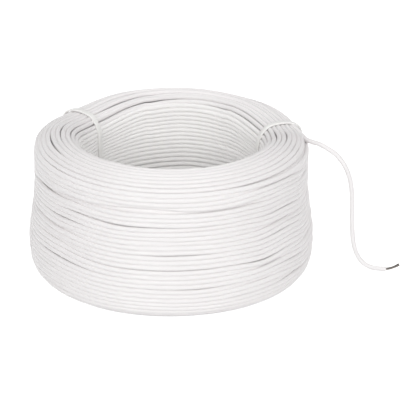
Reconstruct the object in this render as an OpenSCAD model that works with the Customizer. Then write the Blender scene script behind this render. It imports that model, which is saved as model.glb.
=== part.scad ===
// Coil of single-core PVC wire, bare (no drum), bound by two cable ties.
// The coil stands on the plane Z = 0 with its eye round the Z axis. The free
// end of the wire leaves the top edge of the coil on the +X side and lies on
// the same plane.

/* [Wire] */
// Outside diameter of the insulated wire
wire_d = 3.0; // [2.6:0.1:3.2]
// Diameter of the stranded conductor
conductor_d = 1.6; // [1.2:0.1:1.8]
// Space between the conductor and the insulation round it, as a radius
strip_gap = 0.08; // [0.05:0.01:0.15]

/* [Coil] */
// Diameter of the coil where it is widest
coil_d = 177; // [168:1:190]
// Diameter of the eye, the open hole through the coil
eye_d = 110; // [100:1:118]
// Height of the coil at the top of its crown
coil_h = 88; // [82:1:96]
// Height at which the coil is widest
belly_z = 18.5; // [15:0.5:24]
// Height over which the belly dies away into the neck
belly_spread = 24; // [20:1:30]
// How much smaller the radius is at the neck than at the belly
wall_draw = 4.7; // [2:0.1:6]
// Radius of the lower outer edge
foot_r = 10.5; // [10:0.5:12]
// Height of the crown above the top of the wall
crown_h = 11; // [8:0.5:14]
// Distance from the eye's wall to the highest point of the crown
crown_in = 8; // [6:0.5:12]

/* [Outer layer of turns] */
// Height of the first turn's centre
first_turn_z = 2.4; // [2.4:0.1:4]
// Height of the last turn's centre
last_turn_z = 79; // [76:0.1:79.8]
// Least clear space between two turns
turn_gap = 0.2; // [0.1:0.05:0.5]
// Direction in which the last turn ends, seen from above, from +X towards +Y
last_turn_angle = 13; // [11:1:16]
// Clear space between the outer layer and the core beneath it
seat_gap = 0.1; // [0.1:0.05:0.3]

/* [Cable ties] */
// Width of a tie's strap
tie_w = 3.6; // [2.5:0.1:4.8]
// Thickness of a tie's strap
tie_t = 1.3; // [1:0.1:1.6]
// Clear space between a strap and the turns under it
tie_gap = 0.3; // [0.2:0.05:0.5]
// Height of a strap's lowest edge above the plane that the coil stands on
tie_floor_gap = 0.1; // [0.05:0.05:0.4]
// Radius of the strap's bend from the eye's wall to the base
tie_bend_r = 5; // [3:0.5:8]
// Width of a tie's head, across the strap
head_w = 6.2; // [5.6:0.1:7]
// Length of a tie's head, along the strap
head_l = 6; // [5:0.1:7]
// Height of a tie's head, from the turns outwards
head_h = 4.6; // [4:0.1:5]
// Width of the bevel on a head's outer edges
head_bevel = 0.8; // [0.4:0.1:1.2]
// How far the trimmed end of the strap stands out of the head
stub_h = 0.5; // [0.2:0.1:1]
// Direction of the right tie, seen from above, from +X towards +Y
right_tie_angle = 16.5; // [13:0.5:40]
// Direction of the left tie, seen from above, from +X towards +Y
left_tie_angle = 144; // [125:1:160]
// Height of the right tie's head
right_head_z = 20; // [14:1:60]
// Height of the left tie's head
left_head_z = 44; // [14:1:60]

/* [Bare end] */
// Number of lobes in the outline of the twisted strands
strand_lobes = 6; // [5:1:8]
// Depth of the grooves between the twisted strands
strand_groove = 0.14; // [0.05:0.01:0.2]
// Length in which the strands make one full twist
strand_lay = 14; // [10:1:30]

/* [Hidden] */

$fn = 96;
wire_r = wire_d / 2;
coil_r = coil_d / 2;
eye_r = eye_d / 2;
wall_top_z = coil_h - crown_h;
wall_top_r = wall_r(wall_top_z);
crown_r = eye_r + crown_in;
arc_steps = 8;
wall_steps = 12;
crown_steps = 14;

// Most loops, and the rings and sides of each loop, that the outer layer has
max_loops = 24;
loop_rings = 24;
turn_sides = 6;

// Free end of the wire: points on its centre line after the last turn, in mm
tail_points = [
    [80.8, 7.8, 79.1], [82.6, 3.2, 79], [85.8, -0.8, 79.1], [90, -4.8, 79.2],
    [94.5, -7.7, 77.7], [99.5, -10.5, 75], [104.5, -13, 69.3], [108, -14, 61.5], [109.8, -14.5, 52.5],
    [110.5, -15, 41.5], [111, -15.5, 30], [112, -16, 20], [114.2, -16.5, 11.8],
    [118, -17, 5.6], [123, -17.8, 2.5], [128, -18.6, 1.7], [132.8, -19, 1.6]
];
// The bare strands go on from there
bare_points = [[136, -18.2, 1.7], [139, -16.8, 2.1], [141.6, -15.2, 2.7]];
tail_steps = 2;
bare_steps = 5;
tail_sides = 8;

// --- Outline of the coil: radius and height, from the foot to the crown ---

function belly_share(z) = exp(-pow((z - belly_z) / belly_spread, 2));
function wall_r(z) = coil_r - wall_draw * (1 - belly_share(z));
foot_centre_r = wall_r(foot_r) - foot_r;
foot_arc = [for (i = [0 : arc_steps - 1]) let (a = -90 + 90 * i / arc_steps)
    [foot_centre_r + foot_r * cos(a), foot_r + foot_r * sin(a)]];
wall_line = [for (i = [0 : wall_steps - 1]) let (z = foot_r + (wall_top_z - foot_r) * i / wall_steps)
    [wall_r(z), z]];
crown_outer = [for (i = [0 : crown_steps]) let (a = 90 * i / crown_steps)
    [crown_r + (wall_top_r - crown_r) * cos(a), wall_top_z + crown_h * sin(a)]];
crown_inner = [for (i = [1 : crown_steps]) let (a = 90 + 90 * i / crown_steps)
    [crown_r + crown_in * cos(a), wall_top_z + crown_h * sin(a)]];
outer_line = concat(foot_arc, wall_line, crown_outer);

// A line moved sideways by d, to its left as it is walked
function unit(v) = v / norm(v);
function left_of(v) = [-v[1], v[0]];
function moved(line, d) = [for (i = [0 : len(line) - 1])
    line[i] + d * left_of(unit(line[min(i + 1, len(line) - 1)] - line[max(i - 1, 0)]))];

// --- Outer layer: the line its turns' centres follow, and its turns ---

lay_line = moved(outer_line, wire_r);
function run(line, i) = i == 0 ? 0 : run(line, i - 1) + norm(line[i] - line[i - 1]);
lay_run = [for (i = [0 : len(lay_line) - 1]) run(lay_line, i)];
lay_radius_at = [for (i = [0 : len(lay_line) - 1]) [lay_run[i], lay_line[i][0]]];
lay_height_at = [for (i = [0 : len(lay_line) - 1]) [lay_run[i], lay_line[i][1]]];
lay_run_at = [for (i = [0 : len(lay_line) - 1]) [lay_line[i][1], lay_run[i]]];
first_run = lookup(first_turn_z, lay_run_at);
last_run = lookup(last_turn_z, lay_run_at);
loops = min(max_loops, floor((last_run - first_run) / (wire_d + turn_gap)));
rings = loops * loop_rings;
turn_pitch = (last_run - first_run) / loops;

function radial(a) = [cos(a), sin(a), 0];
function clockwise(a) = [sin(a), -cos(a), 0];
function turn_angle(i) = last_turn_angle + 360 * loops * (1 - i / rings);
function lay_at(s) = [lookup(s, lay_radius_at), lookup(s, lay_height_at)];
function turn_run(i) = first_run + (last_run - first_run) * i / rings;
function on_coil(p, a) = p[0] * radial(a) + [0, 0, p[1]];
function turn_centre(i) = on_coil(lay_at(turn_run(i)), turn_angle(i));
// Two flats of a ring face the turns above and below it
function lay_way(s) = unit(lay_at(s + wire_r / 2) - lay_at(s - wire_r / 2));
function turn_ring(i, ahead) = let (a = turn_angle(i), along = lay_way(turn_run(i)))
    [for (k = [0 : turn_sides - 1]) let (b = 360 * k / turn_sides)
    turn_centre(i) + ahead * clockwise(a)
    + wire_r * on_coil(sin(b) * along - cos(b) * left_of(along), a)];
turn_rings = concat([turn_ring(0, -wire_d)], [for (i = [0 : rings]) turn_ring(i, 0)],
    [turn_ring(rings, wire_d)]);

// Least distance between the points of one loop and those of the next
turn_clear = min([for (i = [0 : rings - loop_rings]) for (k = [0 : turn_sides - 1])
    for (m = [0 : turn_sides - 1])
    norm(turn_rings[i + 1][k] - turn_rings[i + 1 + loop_rings][m])]);
echo(loops = loops, turn_pitch = turn_pitch, turn_clear = turn_clear);

// --- Core: what the outer layer lies on ---

// A loop's straight runs cut inside its circle by this much
loop_sag = (coil_r - wire_r) * (1 - cos(180 / loop_rings));
seat_depth = wire_r + loop_sag + seat_gap;
seat_line = moved(lay_line, seat_depth);
// The crown starts where the last turn has passed
crown_from = last_turn_z + wire_d;
seat_part = [for (i = [0 : len(lay_line) - 1])
    if (lay_line[i][1] > first_turn_z && lay_line[i][1] < crown_from) seat_line[i]];
crown_part = [for (p = crown_outer) if (p[1] > crown_from) p];
foot_seat_r = lookup(first_run, lay_radius_at) - seat_depth;
core_profile = concat(
    [[eye_r, 0], [foot_seat_r, 0], [foot_seat_r, first_turn_z + seat_depth]],
    seat_part, crown_part, crown_inner);

// --- Swept tubes ---

function cross_unit(a, b) = unit(cross(a, b));
// Curve through four points, at t from 0 to 1 between the middle two
function through(p0, p1, p2, p3, t) = 0.5 * (2 * p1 + (p2 - p0) * t
    + (2 * p0 - 5 * p1 + 4 * p2 - p3) * t * t + (3 * p1 - p0 - 3 * p2 + p3) * t * t * t);
function curve(pts, first, last, steps) = concat(
    [for (i = [first : last - 1]) for (j = [0 : steps - 1])
        through(pts[max(i - 1, 0)], pts[i], pts[i + 1], pts[min(i + 2, len(pts) - 1)], j / steps)],
    [pts[last]]);
// Sideways direction of each ring, carried along the line without twisting
function heading(line, i) = unit(line[min(i + 1, len(line) - 1)] - line[max(i - 1, 0)]);
function carried(side, dir) = unit(side - (side * dir) * dir);
function sides_of(line, i, side, out) = i == len(line) ? out
    : let (s = carried(side, ring_heading(i))) sides_of(line, i + 1, s, concat(out, [s]));
// Faces between rings of n points, closed by flat ends
function skin(count, n) = [for (i = [0 : count - 2]) for (k = [0 : n - 1])
    let (a = i * n + k, b = i * n + (k + 1) % n) each [[a, a + n, b], [b, a + n, b + n]]];
function end_fan(start, n, flip) = [for (k = [1 : n - 2])
    flip ? [start, start + k + 1, start + k] : [start, start + k, start + k + 1]];
function flat(rings) = [for (r = rings) each r];

exit_start = turn_centre(rings) + wire_d * clockwise(turn_angle(rings));
exit_lead = exit_start + wire_d * clockwise(turn_angle(rings));
wire_points = concat([exit_start, exit_lead], tail_points, bare_points);
strip_at = 1 + len(tail_points);
tail_line = concat([exit_start], curve(wire_points, 1, strip_at, tail_steps));
bare_line = curve(wire_points, strip_at, len(wire_points) - 1, bare_steps);
strand_line = concat(tail_line, [for (i = [1 : len(bare_line) - 1]) bare_line[i]]);
strand_sides = sides_of(strand_line, 0, radial(turn_angle(rings)), []);
strip_ring = len(tail_line) - 1;
function line_length(line) = run(line, len(line) - 1);
echo(tail_length = line_length(tail_line), bare_length = line_length(bare_line));

// The first ring stands square on the last turn's end
function ring_heading(i) = i == 0 ? clockwise(turn_angle(rings)) : heading(strand_line, i);
function tail_ring(i, r) = [for (k = [0 : tail_sides - 1]) let (b = 360 * k / tail_sides)
    strand_line[i] + r * (cos(b) * strand_sides[i]
        + sin(b) * cross_unit(ring_heading(i), strand_sides[i]))];
bore_r = conductor_d / 2 + strip_gap;
strand_sides_n = 2 * strand_lobes;
function strand_twist(i) = i <= strip_ring ? 0
    : 360 * norm(strand_line[i] - strand_line[strip_ring]) / strand_lay;
function strand_r(i, k) = conductor_d / 2 - (i > strip_ring && k % 2 == 1 ? strand_groove : 0);
function strand_ring(i) = [for (k = [0 : strand_sides_n - 1])
    let (b = 360 * k / strand_sides_n + strand_twist(i))
    strand_line[i] + strand_r(i, k) * (cos(b) * strand_sides[i]
        + sin(b) * cross_unit(ring_heading(i), strand_sides[i]))];

// --- Cable ties: a closed strap round the section of the coil, in an upright plane ---

tie_out = tie_gap + tie_t;
// The strap's outside line: bedded flush into the eye and the base, proud elsewhere
tie_outer_side = moved(outer_line, -tie_out);
tie_inner_turn = [for (i = [1 : crown_steps]) let (a = 90 + 90 * i / crown_steps)
    [crown_r + crown_in * cos(a), wall_top_z + (crown_h + tie_out) * sin(a)]];
tie_foot_inner = [for (i = [0 : arc_steps]) let (a = 180 + 90 * i / arc_steps)
    [eye_r + tie_bend_r + tie_bend_r * cos(a), tie_floor_gap + tie_bend_r + tie_bend_r * sin(a)]];
tie_outside = concat(
    [for (p = tie_outer_side) [p[0], max(p[1], tie_floor_gap)]], tie_inner_turn, tie_foot_inner);
function closed_left(line, i) = let (n = len(line))
    left_of(unit(line[(i + 1) % n] - line[(i + n - 1) % n]));
function shrunk(line, d) = [for (i = [0 : len(line) - 1]) line[i] + d * closed_left(line, i)];

// --- Modules ---

module tube(rings, n) {
    polyhedron(points = flat(rings), faces = concat(
        skin(len(rings), n), end_fan(0, n, false), end_fan((len(rings) - 1) * n, n, true)));
}

module coil_core() {
    color("whitesmoke") difference() {
        rotate_extrude() polygon(core_profile);
        tie_seat(left_tie_angle);
        tie_seat(right_tie_angle);
    }
}

module outer_turns() {
    color("white") tube(turn_rings, turn_sides);
}

module wire_insulation() {
    n = tail_sides;
    count = len(tail_line);
    outer_rings = [for (i = [0 : count - 1]) tail_ring(i, wire_r)];
    bore_rings = [for (i = [0 : count - 1]) tail_ring(i, bore_r / cos(180 / n))];
    half = count * n;
    bore_faces = [for (f = skin(count, n)) [f[0] + half, f[2] + half, f[1] + half]];
    rim_first = [for (k = [0 : n - 1]) let (a = k, b = (k + 1) % n)
        each [[a, b, b + half], [a, b + half, a + half]]];
    top = (count - 1) * n;
    rim_last = [for (k = [0 : n - 1]) let (a = top + k, b = top + (k + 1) % n)
        each [[a, b + half, b], [a, a + half, b + half]]];
    color("white") polyhedron(points = concat(flat(outer_rings), flat(bore_rings)),
        faces = concat(skin(count, n), bore_faces, rim_first, rim_last));
}

module copper_strands() {
    color("silver") tube([for (i = [0 : len(strand_line) - 1]) strand_ring(i)], strand_sides_n);
}

module in_tie_plane(angle) {
    rotate([90, 0, angle]) children();
}

// Room for a strap in the core, open on the strap's outside
module tie_seat(angle) {
    in_tie_plane(angle) linear_extrude(tie_w + 2 * seat_gap, center = true) difference() {
        translate([0, -coil_h]) square([coil_d, 3 * coil_h]);
        polygon(shrunk(tie_outside, tie_t));
    }
}

module tie(angle, head_z) {
    head_r = wall_r(head_z) + tie_gap;
    color("ghostwhite") in_tie_plane(angle) {
        linear_extrude(tie_w, center = true) difference() {
            polygon(tie_outside);
            polygon(shrunk(tie_outside, tie_t));
        }
        linear_extrude(head_w, center = true) translate([head_r, head_z - head_l / 2])
            polygon([[0, 0], [head_h - head_bevel, 0], [head_h, head_bevel],
                [head_h, head_l - head_bevel], [head_h - head_bevel, head_l], [0, head_l]]);
        linear_extrude(tie_w, center = true)
            translate([head_r + head_h - head_bevel, head_z - tie_t / 2])
            square([head_bevel + stub_h, tie_t]);
    }
}

module tie_left() {
    tie(left_tie_angle, left_head_z);
}

module tie_right() {
    tie(right_tie_angle, right_head_z);
}

coil_core();
outer_turns();
wire_insulation();
copper_strands();
tie_left();
tie_right();
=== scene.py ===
"""Bare coil of white single-core wire, bound by two cable ties, with one stripped free end.

The coil stands on Z = 0 with its eye round the Z axis. Sizes are in millimetres and become
metres where a curve, a mesh or a lamp is made.
"""

import logging
import math
from dataclasses import dataclass, field
from enum import Enum

import bmesh
import bpy
import numpy as np
from mathutils import Matrix, Vector

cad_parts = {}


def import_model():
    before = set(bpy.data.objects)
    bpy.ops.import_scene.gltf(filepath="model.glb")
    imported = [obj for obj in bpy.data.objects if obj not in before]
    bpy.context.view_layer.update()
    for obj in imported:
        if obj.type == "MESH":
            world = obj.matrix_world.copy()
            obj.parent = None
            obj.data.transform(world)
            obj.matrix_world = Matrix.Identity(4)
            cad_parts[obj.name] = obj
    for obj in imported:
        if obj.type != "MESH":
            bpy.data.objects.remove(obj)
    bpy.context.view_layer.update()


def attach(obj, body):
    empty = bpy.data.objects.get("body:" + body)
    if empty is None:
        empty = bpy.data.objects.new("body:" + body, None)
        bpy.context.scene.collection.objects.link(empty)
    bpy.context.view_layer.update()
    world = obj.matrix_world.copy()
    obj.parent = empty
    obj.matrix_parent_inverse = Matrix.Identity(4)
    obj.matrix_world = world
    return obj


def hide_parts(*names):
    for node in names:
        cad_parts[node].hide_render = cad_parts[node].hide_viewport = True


MM = 0.001
# Edges that turn by more than this stay sharp
SHARP_ANGLE = math.radians(35)
log = logging.getLogger("wire_coil")

Point = tuple[float, float, float]
Colour = tuple[float, float, float, float]


class Slot(Enum):
    """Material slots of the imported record."""

    INSULATION = "insulation"
    STRANDS = "strands"
    TIE = "tie"


# --- Small tools ---


def linear(hex_colour: str) -> Colour:
    """Turn a colour from sRGB hex to linear light.

    Args:
        hex_colour: a colour such as "#F0EEEE".

    Returns:
        Red, green, blue and alpha in linear light.
    """
    parts = [int(hex_colour[i:i + 2], 16) / 255 for i in (1, 3, 5)]
    return (*(c / 12.92 if c <= 0.04045 else ((c + 0.055) / 1.055) ** 2.4 for c in parts), 1.0)


def add_node(tree: bpy.types.NodeTree, kind: str,
             links: dict[str | int, bpy.types.NodeSocket] | None = None,
             values: dict[str | int, object] | None = None,
             **settings: object) -> bpy.types.Node:
    """Add one node to a tree.

    Args:
        tree: the node tree.
        kind: the node's type, such as "ShaderNodeBump".
        links: sockets that feed this node's inputs, by input name, or by number where inputs
            share a name.
        values: fixed values of its inputs, by name or number too.
        **settings: the node's own properties.

    Returns:
        The new node.
    """
    node = tree.nodes.new(kind)
    for name, value in settings.items():
        setattr(node, name, value)
    for name, value in (values or {}).items():
        node.inputs[name].default_value = value
    for name, socket in (links or {}).items():
        tree.links.new(socket, node.inputs[name])
    return node


def new_material(name: str) -> tuple[bpy.types.Material, bpy.types.NodeTree]:
    """Make an empty node material.

    Args:
        name: the material's name.

    Returns:
        The material and its tree.
    """
    material = bpy.data.materials.new(name)
    material.use_nodes = True
    material.node_tree.nodes.clear()
    return material, material.node_tree


def blurred(values: np.ndarray, sigma: float) -> np.ndarray:
    """Blur an array along its first axis.

    Args:
        values: the array.
        sigma: width of the blur, in steps of the first axis.

    Returns:
        An array of the same shape.
    """
    reach = math.ceil(3 * sigma)
    weights = np.exp(-0.5 * (np.arange(-reach, reach + 1) / sigma) ** 2)
    before, after = np.repeat(values[:1], reach, 0), np.repeat(values[-1:], reach, 0)
    padded = np.concatenate([before, values, after])
    return sum(w * padded[i:i + len(values)] for i, w in enumerate(weights / weights.sum()))


def eased(share: np.ndarray) -> np.ndarray:
    """Ease a share between 0 and 1, flat at both ends."""
    share = np.clip(share, 0, 1)
    return share * share * (3 - 2 * share)


def line_length(line: np.ndarray) -> float:
    """Length of a line of points."""
    return float(np.linalg.norm(np.diff(line, axis=0), axis=1).sum())


def rounded_line(points: np.ndarray, steps: int) -> np.ndarray:
    """Run a smooth curve through given points.

    Args:
        points: the points, one row each.
        steps: how many pieces each stretch is cut into.

    Returns:
        The points of the curve, ends included.
    """
    ends = np.concatenate([points[:1], points, points[-1:]])
    t = (np.arange(steps) / steps)[:, None]
    rows = []
    for p0, p1, p2, p3 in zip(ends, ends[1:], ends[2:], ends[3:]):
        rows.append(0.5 * (2 * p1 + (p2 - p0) * t + (2 * p0 - 5 * p1 + 4 * p2 - p3) * t ** 2
                           + (3 * p1 - p0 - 3 * p2 + p3) * t ** 3))
    return np.concatenate([*rows, points[-1:]])


def wire_curve(name: str, lines: list[np.ndarray], radius: float, sides: int,
               twist: str = "MINIMUM") -> bpy.types.Object:
    """Make round wires that follow lines.

    Args:
        name: the object's name.
        lines: one array of points per wire, in mm.
        radius: the wires' radius, in mm.
        sides: sides of the round section, an even number.
        twist: how the section is kept from twisting.

    Returns:
        The curve object, at the origin.
    """
    data = bpy.data.curves.new(name, "CURVE")
    data.dimensions = "3D"
    data.twist_mode = twist
    data.bevel_depth = radius * MM
    data.bevel_resolution = (sides - 4) // 2
    data.use_fill_caps = True
    for line in lines:
        spline = data.splines.new("POLY")
        spline.points.add(len(line) - 1)
        flat = np.column_stack([line * MM, np.ones(len(line))]).astype(np.float32)
        spline.points.foreach_set("co", flat.ravel())
    obj = bpy.data.objects.new(name, data)
    bpy.context.scene.collection.objects.link(obj)
    return obj


def mesh_object(name: str, bm: bmesh.types.BMesh) -> bpy.types.Object:
    """Turn a bmesh that was built in mm to a smooth-shaded object in metres.

    Args:
        name: the object's name.
        bm: the bmesh, which is freed.

    Returns:
        The object, at the origin.
    """
    bmesh.ops.recalc_face_normals(bm, faces=bm.faces)
    bmesh.ops.scale(bm, vec=(MM, MM, MM), verts=bm.verts)
    data = bpy.data.meshes.new(name)
    bm.to_mesh(data)
    bm.free()
    data.shade_smooth()
    data.set_sharp_from_angle(angle=SHARP_ANGLE)
    obj = bpy.data.objects.new(name, data)
    bpy.context.scene.collection.objects.link(obj)
    return obj


def settle(obj: bpy.types.Object, material: bpy.types.Material, slot: Slot, *replaced: str) -> None:
    """Dress a piece, put it on the part's one body and say which nodes it stands for.

    Args:
        obj: the piece.
        material: its material.
        slot: its material slot in the record; not used.
        *replaced: names of the nodes that it stands for.
    """
    obj.data.materials.append(material)
    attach(obj, "root")
    if replaced:
        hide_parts(*replaced)
    log.info("%s stands for %s", obj.name, ", ".join(replaced) or "itself")


# --- Finishes ---


@dataclass(frozen=True)
class ExtrudedPvc:
    """Soft PVC insulation, extruded over the strands: satin, with a faint orange peel."""

    name: str = "extruded_pvc"
    colour: str = "#FAF8F8"
    handled: str = "#F6F3F3"
    roughness: float = 0.42
    ior: float = 1.53
    peel_mm: float = 0.7
    peel_depth_mm: float = 0.012
    peel_strength: float = 0.5
    mottle_mm: float = 30.0

    def make(self) -> bpy.types.Material:
        """Build the material.

        Returns:
            The material.
        """
        material, tree = new_material(self.name)
        place = add_node(tree, "ShaderNodeTexCoord").outputs["Object"]
        mottle = add_node(tree, "ShaderNodeTexNoise", {"Vector": place},
                          {"Scale": 1 / (self.mottle_mm * MM), "Detail": 3.0})
        tint = add_node(tree, "ShaderNodeMix", {"Factor": mottle.outputs["Fac"]},
                        {"A": linear(self.colour), "B": linear(self.handled)}, data_type="RGBA")
        peel = add_node(tree, "ShaderNodeTexNoise", {"Vector": place},
                        {"Scale": 1 / (self.peel_mm * MM), "Detail": 2.0})
        bump = add_node(tree, "ShaderNodeBump", {"Height": peel.outputs["Fac"]},
                        {"Strength": self.peel_strength, "Distance": self.peel_depth_mm * MM})
        shader = add_node(tree, "ShaderNodeBsdfPrincipled",
                          {"Base Color": tint.outputs["Result"], "Normal": bump.outputs["Normal"]},
                          {"Roughness": self.roughness, "IOR": self.ior})
        add_node(tree, "ShaderNodeOutputMaterial", {"Surface": shader.outputs["BSDF"]})
        return material


@dataclass(frozen=True)
class MouldedNylon:
    """Natural nylon of a cable tie, injection moulded: milky, smoother than the wire."""

    name: str = "moulded_nylon"
    colour: str = "#FAF9F7"
    roughness: float = 0.33
    ior: float = 1.53
    ripple_mm: float = 1.6
    ripple_depth_mm: float = 0.02
    ripple_strength: float = 0.5

    def make(self) -> bpy.types.Material:
        """Build the material.

        Returns:
            The material.
        """
        material, tree = new_material(self.name)
        place = add_node(tree, "ShaderNodeTexCoord").outputs["Object"]
        ripple = add_node(tree, "ShaderNodeTexNoise", {"Vector": place},
                          {"Scale": 1 / (self.ripple_mm * MM), "Detail": 1.0})
        bump = add_node(tree, "ShaderNodeBump", {"Height": ripple.outputs["Fac"]},
                        {"Strength": self.ripple_strength,
                         "Distance": self.ripple_depth_mm * MM})
        shader = add_node(tree, "ShaderNodeBsdfPrincipled", {"Normal": bump.outputs["Normal"]},
                          {"Base Color": linear(self.colour), "Roughness": self.roughness,
                           "IOR": self.ior})
        add_node(tree, "ShaderNodeOutputMaterial", {"Surface": shader.outputs["BSDF"]})
        return material


@dataclass(frozen=True)
class TinnedCopper:
    """Drawn copper strands with a dip of tin: grey metal, dulled by handling."""

    name: str = "tinned_copper"
    colour: str = "#A9A4A0"
    tarnish: str = "#7C7570"
    roughness: float = 0.38
    spot_mm: float = 0.6

    def make(self) -> bpy.types.Material:
        """Build the material.

        Returns:
            The material.
        """
        material, tree = new_material(self.name)
        place = add_node(tree, "ShaderNodeTexCoord").outputs["Object"]
        spots = add_node(tree, "ShaderNodeTexNoise", {"Vector": place},
                         {"Scale": 1 / (self.spot_mm * MM), "Detail": 3.0})
        tint = add_node(tree, "ShaderNodeMix", {"Factor": spots.outputs["Fac"]},
                        {"A": linear(self.colour), "B": linear(self.tarnish)}, data_type="RGBA")
        shader = add_node(tree, "ShaderNodeBsdfPrincipled", {"Base Color": tint.outputs["Result"]},
                          {"Metallic": 1.0, "Roughness": self.roughness})
        add_node(tree, "ShaderNodeOutputMaterial", {"Surface": shader.outputs["BSDF"]})
        return material


@dataclass(frozen=True)
class PaleFloor:
    """Matt white paper under the coil. The camera and reflections see it as plain white."""

    name: str = "pale_floor"
    colour: str = "#E2E2E2"
    roughness: float = 0.9
    seen_glow: float = 0.85

    def make(self) -> bpy.types.Material:
        """Build the material.

        Returns:
            The material.
        """
        material, tree = new_material(self.name)
        rays = add_node(tree, "ShaderNodeLightPath").outputs
        seen = add_node(tree, "ShaderNodeMath",
                        {0: rays["Is Camera Ray"], 1: rays["Is Glossy Ray"]}, operation="MAXIMUM")
        through = add_node(tree, "ShaderNodeMath",
                           {0: seen.outputs["Value"], 1: rays["Is Transmission Ray"]},
                           operation="MAXIMUM")
        glow = add_node(tree, "ShaderNodeMath", {0: through.outputs["Value"]},
                        {1: self.seen_glow}, operation="MULTIPLY")
        shader = add_node(tree, "ShaderNodeBsdfPrincipled",
                          {"Emission Strength": glow.outputs["Value"]},
                          {"Base Color": linear(self.colour), "Roughness": self.roughness,
                           "Emission Color": (1.0, 1.0, 1.0, 1.0)})
        add_node(tree, "ShaderNodeOutputMaterial", {"Surface": shader.outputs["BSDF"]})
        return material


# --- Shape of the coil ---


@dataclass(frozen=True)
class CoilShape:
    """Section of the coil, as radii and heights in mm.

    The outside wall bulges low down, the foot and the heel are rounded, and the crown falls from
    its crest to the wall. The eye is straight and flares out at its top.
    """

    wire_r: float = 1.5
    neck_r: float = 83.8
    belly: float = 4.7
    belly_z: float = 18.5
    belly_spread: float = 24.0
    eye_r: float = 55.0
    height: float = 88.0
    foot_r: float = 10.5
    heel_r: float = 4.0
    crown_h: float = 11.0
    crown_in: float = 8.0
    crown_slope: float = 1.85
    flare_h: float = 11.0
    flare_stop: float = 0.97
    # Points on each rounding and on each long stretch, which crowd where the crown is steep
    arc_points: int = 60
    run_points: int = 200
    crowding: float = 1.5

    @property
    def wall_top_z(self) -> float:
        """Height at which the wall meets the crown."""
        return self.height - self.crown_h

    @property
    def crest_r(self) -> float:
        """Radius of the crown's highest ring."""
        return self.eye_r + self.crown_in

    def wall_r(self, z: np.ndarray | float) -> np.ndarray | float:
        """Radius of the outside wall at a height: widest where the turns bulge, low down."""
        return self.neck_r + self.belly * np.exp(-((z - self.belly_z) / self.belly_spread) ** 2)

    def eye_wall_r(self, z: np.ndarray | float) -> np.ndarray | float:
        """Radius of the eye at a height: straight at first, then flared towards the crown."""
        share = np.clip((z - self.height + self.flare_h) / self.flare_h, 0, self.flare_stop)
        return self.eye_r + self.crown_in * (1 - np.sqrt(1 - share ** 2))

    def skin(self, inset: float) -> np.ndarray:
        """Line round the whole section, at an even depth under its skin.

        Args:
            inset: the depth, negative for a line outside the skin.

        Returns:
            Radius and height of closely spaced points: along the base from the eye outwards,
            up the wall, over the crown and down the eye to the start.
        """
        quarter = np.linspace(0, math.pi / 2, self.arc_points)
        rise, run = np.sin(quarter), np.cos(quarter)
        foot = self.wall_r(self.foot_r) - self.foot_r
        foot_r, heel_r, top = self.foot_r - inset, self.heel_r - inset, self.wall_top_z
        z = np.linspace(self.foot_r, top, self.run_points)
        share = np.linspace(1, 0, self.run_points) ** self.crowding
        outer = self.wall_r(top) - self.crest_r - inset
        slope = (1 - share ** self.crown_slope) ** (1 / self.crown_slope)
        parts = [
            np.column_stack([foot + foot_r * rise, self.foot_r - foot_r * run]),
            np.column_stack([self.wall_r(z) - inset, z])[1:-1],
            np.column_stack([self.crest_r + outer * share, top + (self.crown_h - inset) * slope]),
            np.column_stack([self.crest_r - (self.crown_in - inset) * rise,
                             self.height - self.flare_h + (self.flare_h - inset) * run])[1:],
            np.column_stack([self.eye_r + self.heel_r - heel_r * run,
                             self.heel_r - heel_r * rise]),
        ]
        return np.concatenate([parts[4][-1:], *parts])


class Side(Enum):
    """The two ties, by the side of the coil that each is on."""

    LEFT = "left"
    RIGHT = "right"


@dataclass(frozen=True)
class TiePlace:
    """The upright plane that a tie lies in, and how far it presses the crown down.

    The angle is in degrees from +X towards +Y, and the tie's head sits at the height head_z.
    """

    side: Side
    angle: float
    head_z: float
    pinch: float

    @property
    def outward(self) -> np.ndarray:
        """Direction from the coil's axis to the tie."""
        a = math.radians(self.angle)
        return np.array([math.cos(a), math.sin(a), 0.0])

    @property
    def normal(self) -> np.ndarray:
        """Direction square to the plane."""
        return np.cross(self.outward, [0.0, 0.0, 1.0])

    def place(self, flat: np.ndarray) -> np.ndarray:
        """Put a line of radii and heights into the plane."""
        return flat[:, :1] * self.outward + flat[:, 1:] * [0.0, 0.0, 1.0]

    def nearness(self, points: np.ndarray, width: float) -> np.ndarray:
        """How near points are to the tie: 1 in its plane, less away from it."""
        on_its_side = points @ self.outward > 0
        return np.where(on_its_side, np.exp(-(points @ self.normal / width) ** 2), 0.0)


TIES = (TiePlace(Side.LEFT, 144.0, 44.0, 4.8), TiePlace(Side.RIGHT, 16.5, 20.0, 4.1))


# --- How the ties press the coil ---


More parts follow.
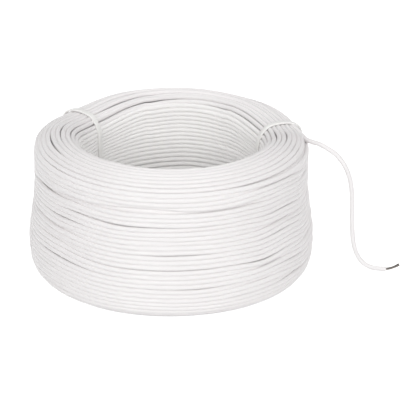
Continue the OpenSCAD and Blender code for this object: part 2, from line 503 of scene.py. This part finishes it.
@dataclass(frozen=True)
class Squeeze:
    """How the ties press the coil out of its even section, as sizes in mm.

    In section, "out" runs from -1 at the eye to 1 at the outside wall and "up" from -1 at the
    base to 1 at the top. Widths are measured from a tie's plane.
    """

    shape: CoilShape
    middle_out: float = 1.5
    half_depth: float = 16.0
    # A strap draws the section together by these shares of the distance from its middle
    draw: float = 0.05
    eye_draw: float = 0.02
    eye_draw_depth: float = 10.0
    base_draw: float = 0.045
    base_sharpness: float = 10.0
    draw_width: float = 10.0
    # It presses the crown down: the pinch, more of it on the eye's rim, and a slack sag around
    pinch_tilt: float = 4.7
    pinch_width: float = 26.0
    rim_width: float = 45.0
    sag: float = 0.5
    sag_width: float = 36.0
    # The press fades out downwards, from where it is full to this far below the middle
    full_up: float = 0.9
    reach: float = 0.45
    eye_reach: float = 0.4
    # The back, which faces this many degrees from +X, stands higher by up to this share of its
    # height, and the front of the foot is lifted and drawn in
    back_angle: float = 80.0
    back_rise: float = 0.010
    toe_lift: float = 2.0
    toe_height: float = 9.0
    toe_depth: float = 11.0
    toe_in: float = 0.5
    toe_up: float = 0.9

    def pressed(self, points: np.ndarray) -> np.ndarray:
        """Press the section together under each tie, most at its corners.

        Args:
            points: points of the wire or of a strap.

        Returns:
            The points, moved towards the middle of the section, with the back raised a little.
        """
        s = self.shape
        middle_r, middle_z = (s.eye_r + s.neck_r) / 2 + self.middle_out, s.height / 2
        radius = np.hypot(points[:, 0], points[:, 1])
        height = points[:, 2].copy()
        angle = np.arctan2(points[:, 1], points[:, 0])
        for tie in TIES:
            near = tie.nearness(points, self.draw_width)
            inward = self.draw + self.eye_draw * eased((middle_r - radius) / self.eye_draw_depth)
            out = np.clip((radius - middle_r) / self.half_depth, -1, 1)
            up = (height - middle_z) / middle_z
            low = self.base_draw * near * eased(-self.base_sharpness * up) * (height - middle_z)
            pinch = tie.pinch - self.pinch_tilt * np.maximum(out, 0)
            pinch = pinch * tie.nearness(points, self.pinch_width)
            rim = self.pinch_tilt * np.maximum(-out, 0) * tie.nearness(points, self.rim_width)
            sag = self.sag * (1 + out) * tie.nearness(points, self.sag_width)
            radius = radius - near * inward * (radius - middle_r)
            reach = self.reach + self.eye_reach * np.minimum(out, 0)
            press = eased((up + reach) / (self.full_up + reach))
            height = height - low - (pinch + rim + sag) * press
        back = np.maximum(0, np.cos(angle - math.radians(self.back_angle)))
        height = height * (1 + self.back_rise * back)
        inside = s.wall_r(s.belly_z) - radius
        toe = self.toe_lift * np.maximum(0, -np.sin(angle)) ** 4 \
            * np.exp(-(height / self.toe_height) ** 2 - (inside / self.toe_depth) ** 2)
        radius, height = radius - self.toe_in * toe, height + self.toe_up * toe
        share = radius / np.hypot(points[:, 0], points[:, 1])
        return np.column_stack([points[:, 0] * share, points[:, 1] * share, height])


# --- The wound wire ---


@dataclass(frozen=True)
class Opening:
    """A place where two turns stand apart and the one under them shows.

    Angle and spread are in degrees, the rest in mm. With a width below 0 the two turns are
    pressed together there.
    """

    angle: float
    radius: float
    height: float
    spread: float
    width: float


@dataclass(frozen=True)
class Lie:
    """How unevenly the turns lie side by side along one stretch of the skin, in mm."""

    # How deep a turn may sink in between its neighbours
    sinking: float
    # The widest gap that opens by chance
    loose: float
    # Gaps at known places
    openings: tuple[Opening, ...] = ()
    # Share by which the turns stand closer at the stretch's start and wider at its stop
    growth: float = 0.0


@dataclass
class Track:
    """A line round the section, read by the distance along it."""

    line: np.ndarray
    # Over how many points the way into the section is evened out at a corner
    corner_blur: float = 3.0
    run: np.ndarray = field(init=False)
    inward: np.ndarray = field(init=False)

    def __post_init__(self) -> None:
        """Measure the line, and find which way is into the section."""
        lengths = np.linalg.norm(np.diff(self.line, axis=0), axis=1)
        self.run = np.concatenate([[0], np.cumsum(lengths)])
        ahead = np.gradient(self.line, axis=0)
        ahead /= np.maximum(np.linalg.norm(ahead, axis=1), 1e-9)[:, None]
        self.inward = blurred(np.column_stack([-ahead[:, 1], ahead[:, 0]]), self.corner_blur)

    def at(self, distance: np.ndarray, depth: np.ndarray) -> np.ndarray:
        """Find places by their distance along the line and their depth under it.

        Args:
            distance: the distances.
            depth: the depths.

        Returns:
            The radius and height of each.
        """
        place = [np.interp(distance, self.run, self.line[:, i])
                 + depth * np.interp(distance, self.run, self.inward[:, i]) for i in (0, 1)]
        return np.stack(place, axis=-1)

    def nearest(self, radius: float, height: float) -> float:
        """Distance along the line of its point that is nearest to a radius and height."""
        away = np.hypot(self.line[:, 0] - radius, self.line[:, 1] - height)
        return float(self.run[np.argmin(away)])


@dataclass
class Winding:
    """The wire from its inner end to where it leaves the coil, laid turn by turn.

    Seen in section the turns are rings. Those that show lie side by side along the skin, and
    here and there one sinks in between its neighbours, which close over it. The wire goes from
    each ring to the next in one turn. Sizes are in mm, and a column is a section at one angle.
    """

    squeeze: Squeeze
    layers: int = 11
    columns: int = 96
    seed: int = 11
    outer_rings: int = 27
    eye_rings: int = 26
    # Middle to middle of two rings side by side
    apart: float = 2.97
    # Share of a turn in which the wire crosses to the next ring, and how far it is smoothed
    crossing: float = 0.42
    smoothing: float = 1.2
    # Unevenness that goes round the coil: how many waves, and how fast they weaken
    waves: int = 7
    wave_fall: float = 0.4
    # Where a tie holds the turns, over this width in radians, it takes this share away
    hold_width: float = 0.22
    hold: float = 0.85
    # From which unevenness a ring sinks or a gap opens, and how much more makes it full
    sink_from: float = 0.55
    sink_span: float = 1.7
    gap_from: float = 0.9
    gap_span: float = 1.6
    # Every ring ripples a little, a stretch's end rings sink by only a share, growth counts this
    # many times for sinking, and two neighbours differ in depth by the root of this at most
    ripple: float = 0.12
    end_sinking: float = 0.2
    growth_of_sinking: float = 4.0
    steepest_squared: float = 6.6
    # Layers under others: pitch of the rings just under the skin, deep inside and at both ends,
    # over what length it opens up, over what length a layer bends to its lowest and top ring, and
    # how far a ring strays
    covered_pitch: float = 3.3
    hidden_pitch: float = 5.7
    close_pitch: float = 3.1
    close_run: float = 9.0
    foot_run: float = 6.0
    crown_run: float = 9.0
    sway: float = 0.15
    # Where one stretch of the skin ends and the next starts
    shoulder_z: float = 79.4
    shoulder_in: float = 0.6
    base_stop_z: float = 3.9
    base_start: float = 0.4
    eye_stop: float = 1.2
    # The wall's last ring rises in this share of a turn and drops again from here, over this
    give_way: float = 0.25
    close_from: float = 0.55
    close_span: float = 0.45
    # Where the wire leaves the coil, and over how many columns it gets there
    end_angle: float = 13.0
    end_r: float = 79.0
    end_z: float = 83.0
    end_blend: int = 22
    wall_lie: Lie = Lie(2.3, 0.7, (
        Opening(-38.5, 84, 58.5, 9, 0.7), Opening(-41, 84, 44, 8, 0.6),
        Opening(-33, 86, 23, 8, 0.7), Opening(-40, 86, 13, 9, 0.6),
        Opening(-92, 86, 32, 30, 0.4), Opening(-80, 86, 19.5, 24, 0.35),
        Opening(-62, 83, 71, 12, 0.6), Opening(-139, 84, 53, 14, 0.8),
        Opening(-139, 87, 26, 16, 0.7), Opening(-141, 80, 2.5, 12, 0.8),
        Opening(-155, 84, 66, 9, 0.5),
    ))
    crown_lie: Lie = Lie(0.5, 0.15, (
        Opening(3, 63, 86, 6, 0.9), Opening(1, 70, 85, 7, 1.0),
        Opening(6, 77, 82, 6, 0.7), Opening(-166, 73.5, 84, 12, 0.8),
        Opening(178, 67, 86, 14, 0.6), Opening(-172, 61, 85, 14, 0.6),
        Opening(90, 57, 80.6, 62, -0.42), Opening(104, 58.6, 83.4, 40, -0.6),
        Opening(104, 61, 85.5, 40, -0.5), Opening(104, 64, 86.5, 40, -0.3),
    ))
    eye_lie: Lie = Lie(1.2, 0.3, (
        Opening(161, 55, 76, 8, 1.0), Opening(149, 55, 65, 6, 1.0),
        Opening(158, 55, 61, 7, 0.9), Opening(148, 55, 71, 5, 0.8),
        Opening(147, 55, 57, 6, 0.9),
    ), 0.12)
    base_lie: Lie = Lie(0.2, 0.1)

    @property
    def shape(self) -> CoilShape:
        """The coil's section."""
        return self.squeeze.shape

    def angles(self) -> np.ndarray:
        """Angle of each column of samples, clockwise from where the wire leaves the coil."""
        return math.radians(self.end_angle) - 2 * math.pi * np.arange(self.columns) / self.columns

    def turned_from(self, angle: float) -> np.ndarray:
        """How far each column is turned from an angle in degrees, in radians within a half turn."""
        return np.angle(np.exp(1j * (self.angles() - math.radians(angle))))

    def noise(self, rng: np.random.Generator, rings: int) -> np.ndarray:
        """Draw random values of about unit spread that are smooth round the coil.

        Args:
            rng: the source of random numbers.
            rings: number of rings.

        Returns:
            One value per ring and column.
        """
        waves = np.arange(1, self.waves + 1)
        angles = 2 * math.pi * np.arange(self.columns) / self.columns
        amounts = rng.normal(size=(rings, 2, len(waves))) / waves ** self.wave_fall
        wave = np.stack([np.cos(np.outer(waves, angles)), np.sin(np.outer(waves, angles))])
        values = np.einsum("tcw,cwa->ta", amounts, wave)
        return values / values.std()

    def calm(self) -> np.ndarray:
        """Find how even the turns are round the coil.

        Returns:
            The share of unevenness that each column keeps: little where a tie holds the turns.
        """
        near = np.zeros(self.columns)
        for tie in TIES:
            near = np.maximum(near, np.exp(-(self.turned_from(tie.angle) / self.hold_width) ** 2))
        return 1 - self.hold * near

    def chain(self, rng: np.random.Generator, track: Track, start: np.ndarray, stop: np.ndarray,
              rings: int, lie: Lie) -> np.ndarray:
        """Place rings side by side along a stretch of the skin.

        Args:
            rng: the source of random numbers.
            track: the line that the rings lie on.
            start: distance along it of the first ring, per column.
            stop: distance along it of the last ring, per column.
            rings: number of rings.
            lie: how unevenly they lie.

        Returns:
            Radius and height per ring and column.
        """
        calm = self.calm()
        depth = lie.sinking * eased((self.noise(rng, rings) - self.sink_from) / self.sink_span)
        depth += self.ripple * (1 + np.tanh(self.noise(rng, rings)))
        chance = eased((self.noise(rng, rings - 1) - self.gap_from) / self.gap_span)
        gaps = lie.loose * calm * chance
        depth[[0, -1]] *= self.end_sinking
        most = self.growth_of_sinking
        depth *= calm * (1 + lie.growth * np.linspace(-most, most, rings))[:, None]
        for item in lie.openings:
            off = np.degrees(self.turned_from(item.angle))
            column = np.argmin(np.abs(off))
            share = np.linspace(0, 1, rings - 1)
            places = track.at(start[column] + share * (stop - start)[column], np.zeros(rings - 1))
            away = np.hypot(places[:, 0] - item.radius, places[:, 1] - item.height)
            gaps[np.argmin(away)] += item.width * np.exp(-(off / item.spread) ** 2)
        drop = np.minimum(np.diff(depth, axis=0) ** 2, self.steepest_squared)
        steps = np.sqrt(self.apart ** 2 - drop) + gaps
        steps *= (1 + lie.growth * np.linspace(-1, 1, rings - 1))[:, None]
        share = np.concatenate([np.zeros((1, self.columns)), np.cumsum(steps, axis=0)])
        share /= share[-1]
        return track.at(start + share * (stop - start), depth)

    def buried(self, rng: np.random.Generator, layer: int, low: np.ndarray,
               top: np.ndarray) -> np.ndarray:
        """Place the rings of a layer that lies under others, between its two ends.

        Args:
            rng: the source of random numbers.
            layer: the layer's number, from the eye outwards.
            low: its lowest ring.
            top: its highest ring.

        Returns:
            Radius and height per ring and column, both ends included.
        """
        s, pitch = self.shape, self.hidden_pitch
        if layer in (1, self.layers - 2):
            pitch = self.covered_pitch
        tall, levels = float(np.mean(top[:, 1] - low[:, 1])), [0.0]
        while levels[-1] < tall:
            end = max(min(levels[-1], tall - levels[-1]), 0)
            closer = (pitch - self.close_pitch) * math.exp(-end / self.close_run)
            levels.append(levels[-1] + pitch - closer)
        share = (np.array(levels) / levels[-1])[:, None]
        height = low[:, 1] + share * (top[:, 1] - low[:, 1])

        def upright(z: np.ndarray) -> np.ndarray:
            """Radius of the layer at a height, away from its ends."""
            first = s.eye_wall_r(z) + s.wire_r
            last = s.wall_r(np.clip(z, s.foot_r, s.wall_top_z)) - s.wire_r
            spread = (last - first) / (self.layers - 1)
            return first + layer * spread

        radius = upright(height)
        radius += (low[:, 0] - upright(low[:, 1])) * np.exp(-(height - low[:, 1]) / self.foot_run)
        radius += (top[:, 0] - upright(top[:, 1])) * np.exp(-(top[:, 1] - height) / self.crown_run)
        rings, inner = np.stack([radius, height], axis=-1), slice(1, -1)
        uneven = np.stack([self.noise(rng, len(levels))[inner] for _ in (0, 1)], axis=-1)
        rings[inner] += self.sway * uneven
        return rings

    def rings(self) -> tuple[np.ndarray, list[int]]:
        """Place all rings.

        Returns:
            The rings in the order of the wire, and the number of each layer's first ring.
        """
        rng = np.random.default_rng(self.seed)
        s, every = self.shape, np.ones(self.columns)
        track = Track(s.skin(s.wire_r))
        end = track.nearest(s.wall_r(s.wall_top_z) - s.wire_r - self.shoulder_in, self.shoulder_z)
        last = self.layers - 1
        crown_stop = end + last * self.apart
        across = (s.wall_r(s.belly_z) - s.eye_r - 2 * s.wire_r) / last
        base_stop = track.nearest(s.eye_r + s.wire_r + (last - 1) * across, self.base_stop_z)
        turn = np.arange(self.columns) / self.columns
        shared = 1 - eased(turn / self.give_way) + eased((turn - self.close_from) / self.close_span)
        outer = self.chain(rng, track, (base_stop + self.apart) * every, end - self.apart * shared,
                           self.outer_rings, self.wall_lie)
        crown = self.chain(rng, track, end * every, crown_stop * every, self.layers,
                           self.crown_lie)
        eye = self.chain(rng, track, crown_stop * every, (track.run[-1] - self.eye_stop) * every,
                         self.eye_rings, self.eye_lie)
        base = self.chain(rng, track, self.base_start * every, base_stop * every,
                          self.layers - 2, self.base_lie)
        exit_ring = track.at(end * every, 0 * every)[None]
        order, starts = [eye[::-1]], [0]
        for layer in range(1, last):
            rows = self.buried(rng, layer, base[layer - 1], crown[last - layer])
            starts.append(sum(len(part) for part in order))
            order.append(rows if layer % 2 == 0 else rows[::-1])
        starts.append(sum(len(part) for part in order))
        return np.concatenate([*order, outer, exit_ring]), starts

    def lay(self) -> list[np.ndarray]:
        """Lay the whole wire.

        Returns:
            One line of points per layer, each starting where the one before it ends.
        """
        rings, starts = self.rings()
        n = self.columns
        step = np.arange((len(rings) - 1) * n + 1)
        ring, column = np.minimum(step // n, len(rings) - 2), step % n
        column[-1] = n - 1
        turn = (step - ring * n) / n
        over = eased((turn - (1 - self.crossing)) / self.crossing)[:, None]
        flat = (1 - over) * rings[ring, column] + over * rings[ring + 1, column]
        flat = blurred(flat, self.smoothing)
        ending = eased((step - (step[-1] - self.end_blend)) / self.end_blend)[:, None]
        flat = flat + ending * (np.array([self.end_r, self.end_z]) - flat)
        angle = math.radians(self.end_angle) - 2 * math.pi * step / n
        points = np.column_stack([flat[:, 0] * np.cos(angle), flat[:, 0] * np.sin(angle),
                                  flat[:, 1]])
        points = self.squeeze.pressed(points)
        stops = [*(first * n for first in starts[1:]), step[-1]]
        return [points[first * n:stop + 1] for first, stop in zip(starts, stops)]

    def exit_point(self) -> np.ndarray:
        """Find where the wire leaves the coil.

        Returns:
            The place.
        """
        angle = math.radians(self.end_angle)
        flat = [self.end_r * math.cos(angle), self.end_r * math.sin(angle), self.end_z]
        return self.squeeze.pressed(np.array([flat]))[0]

    def build(self, pvc: bpy.types.Material, eye_brightened_pvc: bpy.types.Material) -> None:
        """Make the wound wire, in four lengths that follow each other from the eye outwards.

        Args:
            pvc: material of the insulation.
            eye_brightened_pvc: lighter material of the eye's layer, painted light for its shaded
                walls.
        """
        lines = self.lay()
        # First layer, the one after the last, and how many sides the round section has
        groups = {"inner_layer": (0, 1, 12), "lower_middle_layers": (1, 6, 8),
                  "upper_middle_layers": (6, self.layers - 1, 8),
                  "outer_layer": (self.layers - 1, self.layers, 12)}
        nodes = {"outer_layer": ["outer_turns"], "inner_layer": ["coil_core"]}
        total = 0.0
        for name, (start, stop, sides) in groups.items():
            line = np.concatenate([lines[start], *(part[1:] for part in lines[start + 1:stop])])
            piece = wire_curve(name, [line], self.shape.wire_r, sides, "Z_UP")
            settle(piece, eye_brightened_pvc if start == 0 else pvc, Slot.INSULATION, *nodes.get(name, []))
            length = line_length(line) * MM
            total += length
            2 * self.shape.wire_r * MM
            log.info("%s holds %.2f m of wire", name, length)
        log.info("the coil holds %.2f m of wire", total)


# --- The free end ---


@dataclass
class FreeEnd:
    """The wire's last stretch: it leaves the top of the coil, drops and ends in bare strands.

    Sizes are in mm.
    """

    shape: CoilShape
    start: np.ndarray
    strand_r: float = 0.155
    strand_lay: float = 14.0
    # Radius of each ring of strands and how many it has
    strand_rings: tuple[tuple[float, int], ...] = ((0.0, 1), (0.31, 6), (0.63, 12))
    # The strands spread by up to this share, over this length at their end, and the closest one
    # by only a part of that
    fray: float = 0.35
    fray_run: float = 3.5
    least_fray: float = 0.4
    # Steps of the line between two points of the route, and how many the strands reach inside
    steps: int = 8
    inside: int = 12
    route: tuple[Point, ...] = (
        (80.8, 7.8, 79.1), (82.6, 3.2, 79), (85.8, -0.8, 79.1), (90, -4.8, 79.2),
        (94.5, -7.7, 77.7), (99.5, -10.5, 75), (104.5, -13, 69.3), (108, -14, 61.5),
        (109.8, -14.5, 52.5), (110.5, -15, 41.5), (111, -15.5, 30), (112, -16, 20),
        (114.2, -16.5, 11.8), (118, -17, 5.6), (123, -17.8, 2.5), (128, -18.6, 1.7),
        (132.8, -19, 1.6),
    )
    bare: tuple[Point, ...] = ((136, -18.2, 1.7), (139, -16.8, 2.1), (141.6, -15.2, 2.7))

    def line(self) -> tuple[np.ndarray, int]:
        """Centre line of the whole free end, and the point of it where the insulation stops."""
        points = np.array([self.start, *self.route, *self.bare])
        return rounded_line(points, self.steps), len(self.route) * self.steps

    def strands(self, middle: np.ndarray) -> list[np.ndarray]:
        """Lines of the strands, in rings that twist round the conductor's middle.

        Args:
            middle: the conductor's centre line, in mm.

        Returns:
            One line per strand.
        """
        ahead = np.gradient(middle, axis=0)
        ahead /= np.linalg.norm(ahead, axis=1)[:, None]
        side = np.cross(ahead, [0.0, 0.0, 1.0])
        side /= np.linalg.norm(side, axis=1)[:, None]
        up = np.cross(side, ahead)
        run = np.concatenate([[0], np.cumsum(np.linalg.norm(np.diff(middle, axis=0), axis=1))])
        lines = []
        spread = self.fray * eased((run - run[-1] + self.fray_run) / self.fray_run)
        for ring_r, count in self.strand_rings:
            for k in range(count):
                turn = 2 * math.pi * (k / count + run / self.strand_lay)
                # Strands side by side spread by unlike amounts and end at unlike places
                part = self.least_fray + (1 - self.least_fray) * ((k * 7) % 5) / 4
                loose = 1 + spread * part
                cut = len(middle) - (k * 5) % 4
                line = middle + (ring_r * loose * np.cos(turn))[:, None] * side \
                    + (ring_r * loose * np.sin(turn))[:, None] * up
                lines.append(line[:cut])
        return lines

    def build(self, pvc: bpy.types.Material, metal: bpy.types.Material) -> None:
        """Make the insulated free end and its bare strands.

        Args:
            pvc: material of the insulation.
            metal: material of the strands.
        """
        line, strip = self.line()
        wire = wire_curve("free_end", [line[:strip + 1]], self.shape.wire_r, 16)
        settle(wire, pvc, Slot.INSULATION, "wire_insulation")
        strands = wire_curve("bare_strands", self.strands(line[strip - self.inside:]),
                             self.strand_r, 6)
        settle(strands, metal, Slot.STRANDS, "copper_strands")
        2 * self.shape.wire_r * MM


# --- Cable ties ---


@dataclass
class CableTie:
    """A nylon tie: a strap round the coil's section, its head outside, its end cut off short.

    Sizes are in mm. The head is given as its height over the strap, its length and its width.
    """

    squeeze: Squeeze
    place: TiePlace
    width: float = 3.6
    thickness: float = 1.3
    gap: float = 0.1
    edge: float = 0.55
    samples: int = 180
    # The strap's rims are the edges that turn by more degrees than this
    rim_turn: float = 60.0
    head: Point = (4.6, 6.0, 6.2)
    head_bevel: float = 0.8
    # The head's window, and how deep what stands in it is rooted in its floor
    window_rim: float = 0.35
    window_slope: float = 0.12
    window_depth: float = 1.1
    rooted: float = 0.3
    # The cut end in the window: how far it stands out, half its thickness and its bevel
    stub: float = 0.5
    stub_half: float = 0.65
    stub_bevel: float = 0.15
    # The pawl beside it: where it starts and stops, its share of the strap's width, how far it
    # stays under the head's top and its bevel
    pawl: tuple[float, float] = (0.95, 1.75)
    pawl_share: float = 0.55
    pawl_under: float = 0.35
    pawl_bevel: float = 0.2

    def outline(self) -> np.ndarray:
        """Draw the outside line of the strap.

        Returns:
            Radius and height of its points, all round the section.
        """
        track = Track(self.squeeze.shape.skin(-self.thickness - self.gap))
        even = np.linspace(0, track.run[-1], self.samples, endpoint=False)
        return track.at(even, np.zeros(len(even)))

    def strap(self) -> bpy.types.Object:
        """Make the strap as a closed band with softened edges.

        Returns:
            The strap.
        """
        bm = bmesh.new()
        points = self.squeeze.pressed(self.place.place(self.outline()))
        points = points - self.place.normal * self.width / 2
        verts = [bm.verts.new(p) for p in points]
        edges = [bm.edges.new((a, b)) for a, b in zip(verts, verts[1:] + verts[:1])]
        band = bmesh.ops.extrude_edge_only(bm, edges=edges)["geom"]
        moved = [v for v in band if isinstance(v, bmesh.types.BMVert)]
        bmesh.ops.translate(bm, vec=self.place.normal * self.width, verts=moved)
        bmesh.ops.recalc_face_normals(bm, faces=bm.faces)
        bmesh.ops.solidify(bm, geom=bm.faces[:], thickness=self.thickness)
        turn = math.radians(self.rim_turn)
        rims = [e for e in bm.edges if e.is_manifold and e.calc_face_angle() > turn]
        bmesh.ops.bevel(bm, geom=rims, offset=self.edge, offset_type="OFFSET", segments=3,
                        profile=0.5, affect="EDGES", material=-1)
        return mesh_object(f"tie_{self.place.side.value}_strap", bm)

    def block(self, bm: bmesh.types.BMesh, low: Point, high: Point, bevel: float) -> None:
        """Add a bevelled block to a mesh.

        Args:
            bm: the mesh, in the head's own directions.
            low: its lowest corner.
            high: its highest corner.
            bevel: width of its bevels.
        """
        size, middle = Vector(high) - Vector(low), (Vector(high) + Vector(low)) / 2
        made = bmesh.ops.create_cube(bm, size=1.0, matrix=Matrix.Translation(middle)
                                     @ Matrix.Diagonal((*size, 1.0)))
        edges = list(dict.fromkeys(e for v in made["verts"] for e in v.link_edges))
        bmesh.ops.bevel(bm, geom=edges, offset=bevel, offset_type="OFFSET", segments=3,
                        profile=0.5, affect="EDGES", material=-1)

    def head_piece(self) -> bpy.types.Object:
        """Make the head: a rounded box with a window, in which the pawl and the cut end show.

        Returns:
            The head.
        """
        high, long, wide = self.head
        bm = bmesh.new()
        self.block(bm, (0, -long / 2, -wide / 2), (high, long / 2, wide / 2), self.head_bevel)
        top = max((f for f in bm.faces if f.normal.x > 0.99), key=lambda f: f.calc_area())
        bmesh.ops.inset_region(bm, faces=[top], thickness=self.window_rim, depth=0.0)
        bmesh.ops.inset_region(bm, faces=[top], thickness=self.window_slope, depth=0.0)
        bmesh.ops.translate(bm, vec=(-self.window_depth, 0, 0), verts=top.verts)
        root, half = high - self.window_depth - self.rooted, self.width / 2
        self.block(bm, (root, -self.stub_half, -half), (high + self.stub, self.stub_half, half),
                   self.stub_bevel)
        start, stop = self.pawl
        self.block(bm, (root, start, -half * self.pawl_share),
                   (high - self.pawl_under, stop, half * self.pawl_share), self.pawl_bevel)
        wall_r = self.squeeze.shape.wall_r(self.place.head_z) + self.gap
        at = self.squeeze.pressed(self.place.place(np.array([[wall_r, self.place.head_z]])))[0]
        turn = Matrix((self.place.outward, (0.0, 0.0, 1.0), self.place.normal)).transposed()
        bmesh.ops.transform(bm, matrix=Matrix.Translation(Vector(at)) @ turn.to_4x4(),
                            verts=bm.verts)
        return mesh_object(f"tie_{self.place.side.value}_head", bm)

    def build(self, nylon: bpy.types.Material) -> None:
        """Make the strap and the head."""
        settle(self.strap(), nylon, Slot.TIE, f"tie_{self.place.side.value}")
        settle(self.head_piece(), nylon, Slot.TIE, f"tie_{self.place.side.value}")


# --- Camera, light and floor ---


@dataclass
class Studio:
    """Camera, floor and light: even from all round, with two keys in front and one on top.

    Sizes are in mm, those named px in pixels of the rendered picture. A lamp has a name, a place
    in metres and a power in watts.
    """

    elevation: float = 24.4
    distance: float = 1000.0
    middle_z: float = 41.0
    picture_px: int = 415
    focal_px: float = 1615.0
    coil_px: tuple[float, float] = (171.5, 198.3)
    sensor: float = 36.0
    # The nearest and the farthest that the camera sees
    near: float = 50.0
    far: float = 20000.0
    floor_half: float = 4000.0
    world_light: float = 0.56
    lamp_side: float = 1.2
    lamps: tuple[tuple[str, Point, float], ...] = (
        ("left", (-0.95, -1.9, 1.15), 12.2), ("right", (0.9, -1.9, 1.15), 12.2),
        ("top", (0.0, 0.1, 2.2), 4.3),
    )

    def camera(self) -> None:
        """Place the camera, and turn it from the coil's middle to the picture's middle."""
        data = bpy.data.cameras.new("camera")
        data.sensor_width = self.sensor
        data.lens = self.focal_px * data.sensor_width / self.picture_px
        data.clip_start, data.clip_end = self.near * MM, self.far * MM
        obj = bpy.data.objects.new("camera", data)
        bpy.context.scene.collection.objects.link(obj)
        tilt = math.radians(self.elevation)
        right = math.atan((self.picture_px / 2 - self.coil_px[0]) / self.focal_px)
        down = math.atan((self.picture_px / 2 - self.coil_px[1]) / self.focal_px)
        place = Matrix.Translation(Vector((0, -self.distance * math.cos(tilt),
                                           self.middle_z + self.distance * math.sin(tilt))) * MM)
        look = Matrix.Rotation(math.pi / 2 - tilt, 4, "X")
        aside = Matrix.Rotation(-right, 4, "Y") @ Matrix.Rotation(-down, 4, "X")
        obj.matrix_world = place @ look @ aside
        bpy.context.scene.camera = obj

    def lamp(self, name: str, place: Point, power: float) -> None:
        """Add a soft square lamp that faces the coil.

        Args:
            name: the lamp's name.
            place: its place, in metres.
            power: its power, in watts.
        """
        data = bpy.data.lights.new(name, "AREA")
        data.size, data.energy = self.lamp_side, power
        obj = bpy.data.objects.new(name, data)
        bpy.context.scene.collection.objects.link(obj)
        aim = Vector((0, 0, self.middle_z * MM)) - Vector(place)
        turn = aim.to_track_quat("-Z", "Y").to_matrix().to_4x4()
        obj.matrix_world = Matrix.Translation(place) @ turn

    def world(self) -> None:
        """Light the scene evenly from all round, and show plain white behind it."""
        world = bpy.data.worlds.new("studio")
        world.use_nodes = True
        tree = world.node_tree
        tree.nodes.clear()
        rays = add_node(tree, "ShaderNodeLightPath").outputs
        seen = add_node(tree, "ShaderNodeMath",
                        {0: rays["Is Camera Ray"], 1: rays["Is Transmission Ray"]},
                        operation="MAXIMUM")
        strength = add_node(tree, "ShaderNodeMapRange", {"Value": seen.outputs["Value"]},
                            {"To Min": self.world_light, "To Max": 1.0})
        light = add_node(tree, "ShaderNodeBackground", {"Strength": strength.outputs["Result"]},
                         {"Color": (1.0, 1.0, 1.0, 1.0)})
        add_node(tree, "ShaderNodeOutputWorld", {"Surface": light.outputs["Background"]})
        bpy.context.scene.world = world

    def floor(self) -> None:
        """Lay the floor."""
        bm = bmesh.new()
        bmesh.ops.create_grid(bm, x_segments=1, y_segments=1, size=self.floor_half)
        obj = mesh_object("floor", bm)
        obj.data.materials.append(PaleFloor().make())

    def build(self) -> None:
        """Make the whole studio."""
        self.camera()
        self.world()
        self.floor()
        for name, place, power in self.lamps:
            self.lamp(name, place, power)
        bpy.context.scene.view_settings.view_transform = "Standard"


# --- The whole ---


def main() -> None:
    """Build the coil, its ties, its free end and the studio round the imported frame."""
    logging.basicConfig(level=logging.INFO, format="%(name)s: %(message)s")
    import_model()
    Studio().build()
    squeeze = Squeeze(CoilShape())
    pvc = ExtrudedPvc().make()
    winding = Winding(squeeze)
    # The eye's layer gets lighter copies of the insulation's colours: painted light for its shaded
    # walls
    winding.build(pvc, ExtrudedPvc("eye_brightened_pvc", "#FEFDFC", "#FDFBFA").make())
    FreeEnd(squeeze.shape, winding.exit_point()).build(pvc, TinnedCopper().make())
    nylon = MouldedNylon().make()
    for place in TIES:
        CableTie(squeeze, place).build(nylon)


if __name__ == "__main__":
    main()
